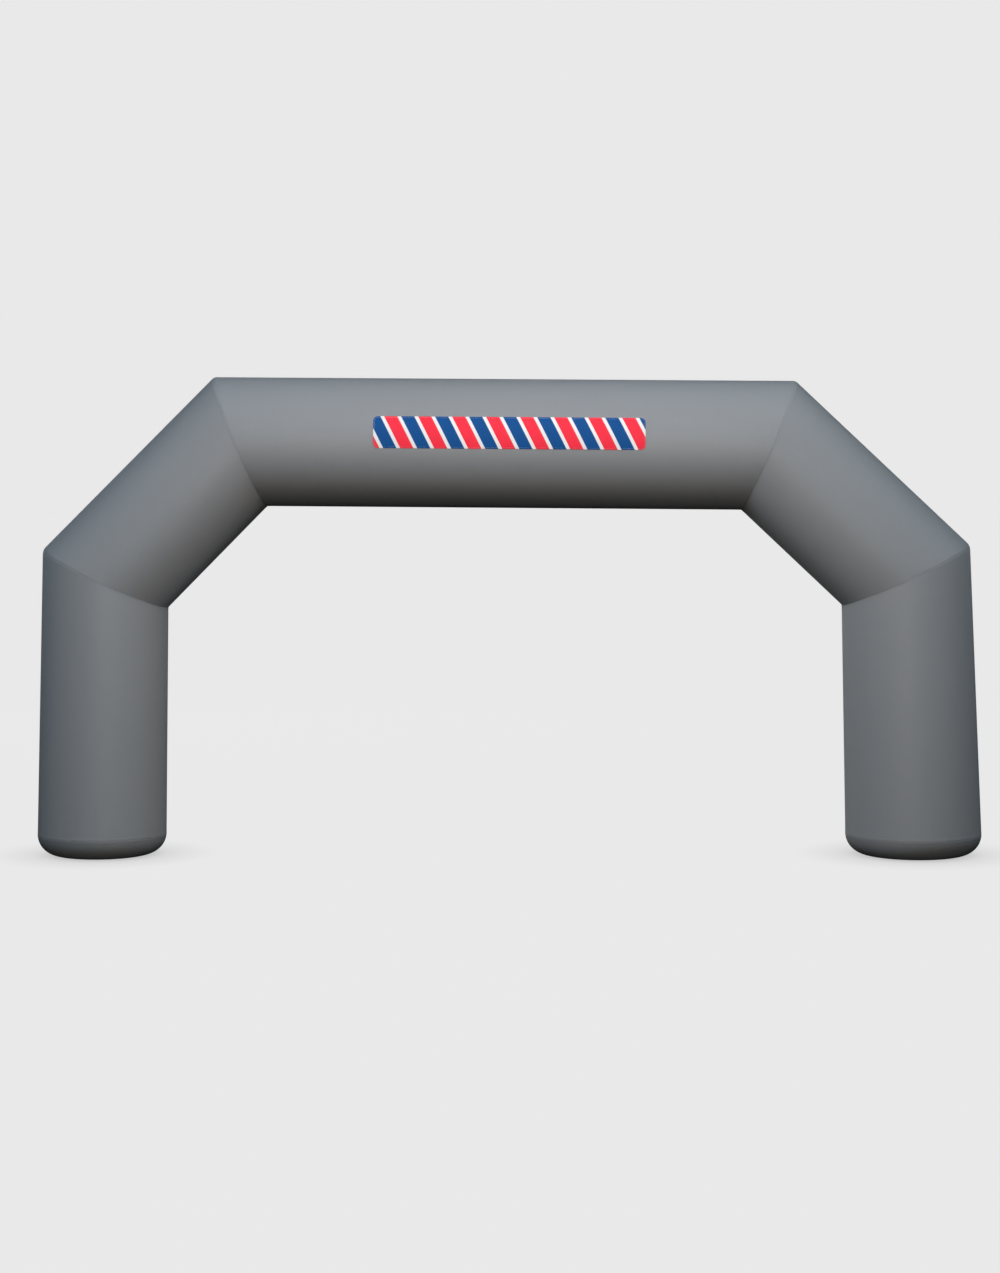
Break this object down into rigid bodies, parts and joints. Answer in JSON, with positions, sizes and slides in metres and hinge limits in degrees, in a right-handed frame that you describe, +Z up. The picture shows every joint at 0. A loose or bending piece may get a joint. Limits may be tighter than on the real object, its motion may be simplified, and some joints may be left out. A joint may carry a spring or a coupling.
{
  "type": "inflatable arch",
  "caption": "Free-standing inflatable event arch: straight round fabric tubes mitred at the shoulders and crown, on rounded feet, with a plain banner patch on the front.",
  "frame": {"origin": "on the floor, at the middle of the overall box: midway between the outer sides of the feet and between the front and the back", "axes": "+X runs along the crown to the right as seen from the front, +Z is up, and the front, which carries the banner, faces -Y"},
  "size_m": [5.97, 0.85, 3.0148],
  "materials": {
    "tube_fabric": "mid-grey coated polyester fabric, satin, drawn tight by the air inside",
    "banner_fabric": "off-white coated banner fabric with printed slanted bars, satin"
  },
  "bodies": {
    "root": {"left_foot": "tube_fabric", "left_leg": "tube_fabric", "left_shoulder": "tube_fabric", "crown": "tube_fabric", "right_shoulder": "tube_fabric", "right_leg": "tube_fabric", "right_foot": "tube_fabric", "banner": "banner_fabric"}
  },
  "joints": []
}
